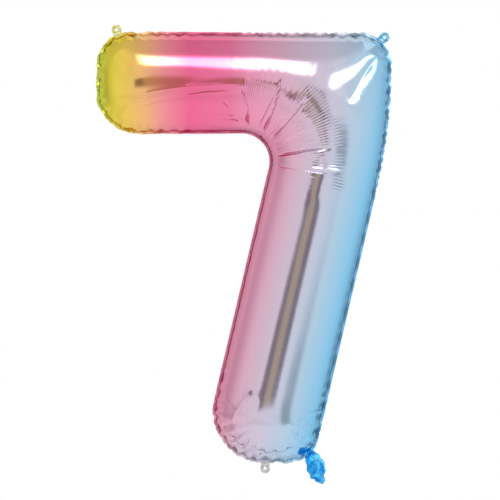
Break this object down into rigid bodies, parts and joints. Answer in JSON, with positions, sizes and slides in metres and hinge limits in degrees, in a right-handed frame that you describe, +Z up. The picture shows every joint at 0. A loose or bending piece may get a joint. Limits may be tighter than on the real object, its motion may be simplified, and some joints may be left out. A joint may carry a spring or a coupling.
{
  "type": "foil number balloon",
  "caption": "Inflated foil balloon in the shape of the figure 7, with a flat sealed rim, three punched hanging tabs, a folding filling neck and a self-sealing valve inside.",
  "frame": {"origin": "the middle of a string threaded through the two top eyelets, in the plane of the sealed rim", "axes": "+Z up, +X towards the bar's corner as the figure is read, and the front of the balloon faces -Y"},
  "size_m": [0.59, 0.2314, 0.9257],
  "materials": {
    "front_film": "mirror-bright metallised film, printed with a yellow, pink, silver and blue fade",
    "rear_film": "mirror-bright metallised film, printed with the same fade",
    "sealed_rim": "flat heat-sealed metallised film, slightly puckered",
    "yellow_tab": "flat sealed film, pale yellow",
    "blue_tab": "flat sealed film, sky blue",
    "silver_tab": "flat sealed film, silver grey",
    "neck_film": "bright blue metallised film, crumpled",
    "valve_film": "clear thin plastic film"
  },
  "bodies": {
    "balloon": {"front_film": "front_film", "rear_film": "rear_film", "sealed_rim": "sealed_rim", "valve_mouth_front_ply": "valve_film", "valve_mouth_rear_ply": "valve_film"},
    "top_left_tab": {"hanging_tab_top_left": "yellow_tab"},
    "top_right_tab": {"hanging_tab_top_right": "blue_tab"},
    "bottom_tab": {"hanging_tab_bottom": "silver_tab"},
    "neck": {"neck_front_ply": "neck_film", "neck_rear_ply": "neck_film"},
    "valve_front": {"valve_front_ply": "valve_film"},
    "valve_rear": {"valve_rear_ply": "valve_film"}
  },
  "joints": [
    {"name": "top_left_tab_fold", "type": "hinge", "parent": "balloon", "child": "top_left_tab", "pos_m": [-0.26608, 0, -0.00058], "axis": [0.9744, 0, 0.225], "range_deg": [-90, 90]},
    {"name": "top_right_tab_fold", "type": "hinge", "parent": "balloon", "child": "top_right_tab", "pos_m": [0.26168, 0, -0.01339], "axis": [0.6691, 0, -0.7431], "range_deg": [-90, 90]},
    {"name": "bottom_tab_fold", "type": "hinge", "parent": "balloon", "child": "bottom_tab", "pos_m": [0.02934, 0, -0.86094], "axis": [-1, 0, 0], "range_deg": [-90, 90]},
    {"name": "neck_fold", "type": "hinge", "parent": "balloon", "child": "neck", "pos_m": [0.11912, 0, -0.84722], "axis": [-0.891, 0, -0.454], "range_deg": [-90, 90]},
    {"name": "valve_front_open", "type": "hinge", "parent": "balloon", "child": "valve_front", "pos_m": [0.11082, 0, -0.83091], "axis": [0.891, 0, 0.454], "range_deg": [0, 5], "stiffness_Nm_per_rad": 0.0005},
    {"name": "valve_rear_open", "type": "hinge", "parent": "balloon", "child": "valve_rear", "pos_m": [0.11082, 0, -0.83091], "axis": [0.891, 0, 0.454], "range_deg": [-5, 0], "stiffness_Nm_per_rad": 0.0005}
  ],
  "couplings": [
    {"joint": "valve_rear_open", "follows": "valve_front_open", "ratio": -1}
  ]
}
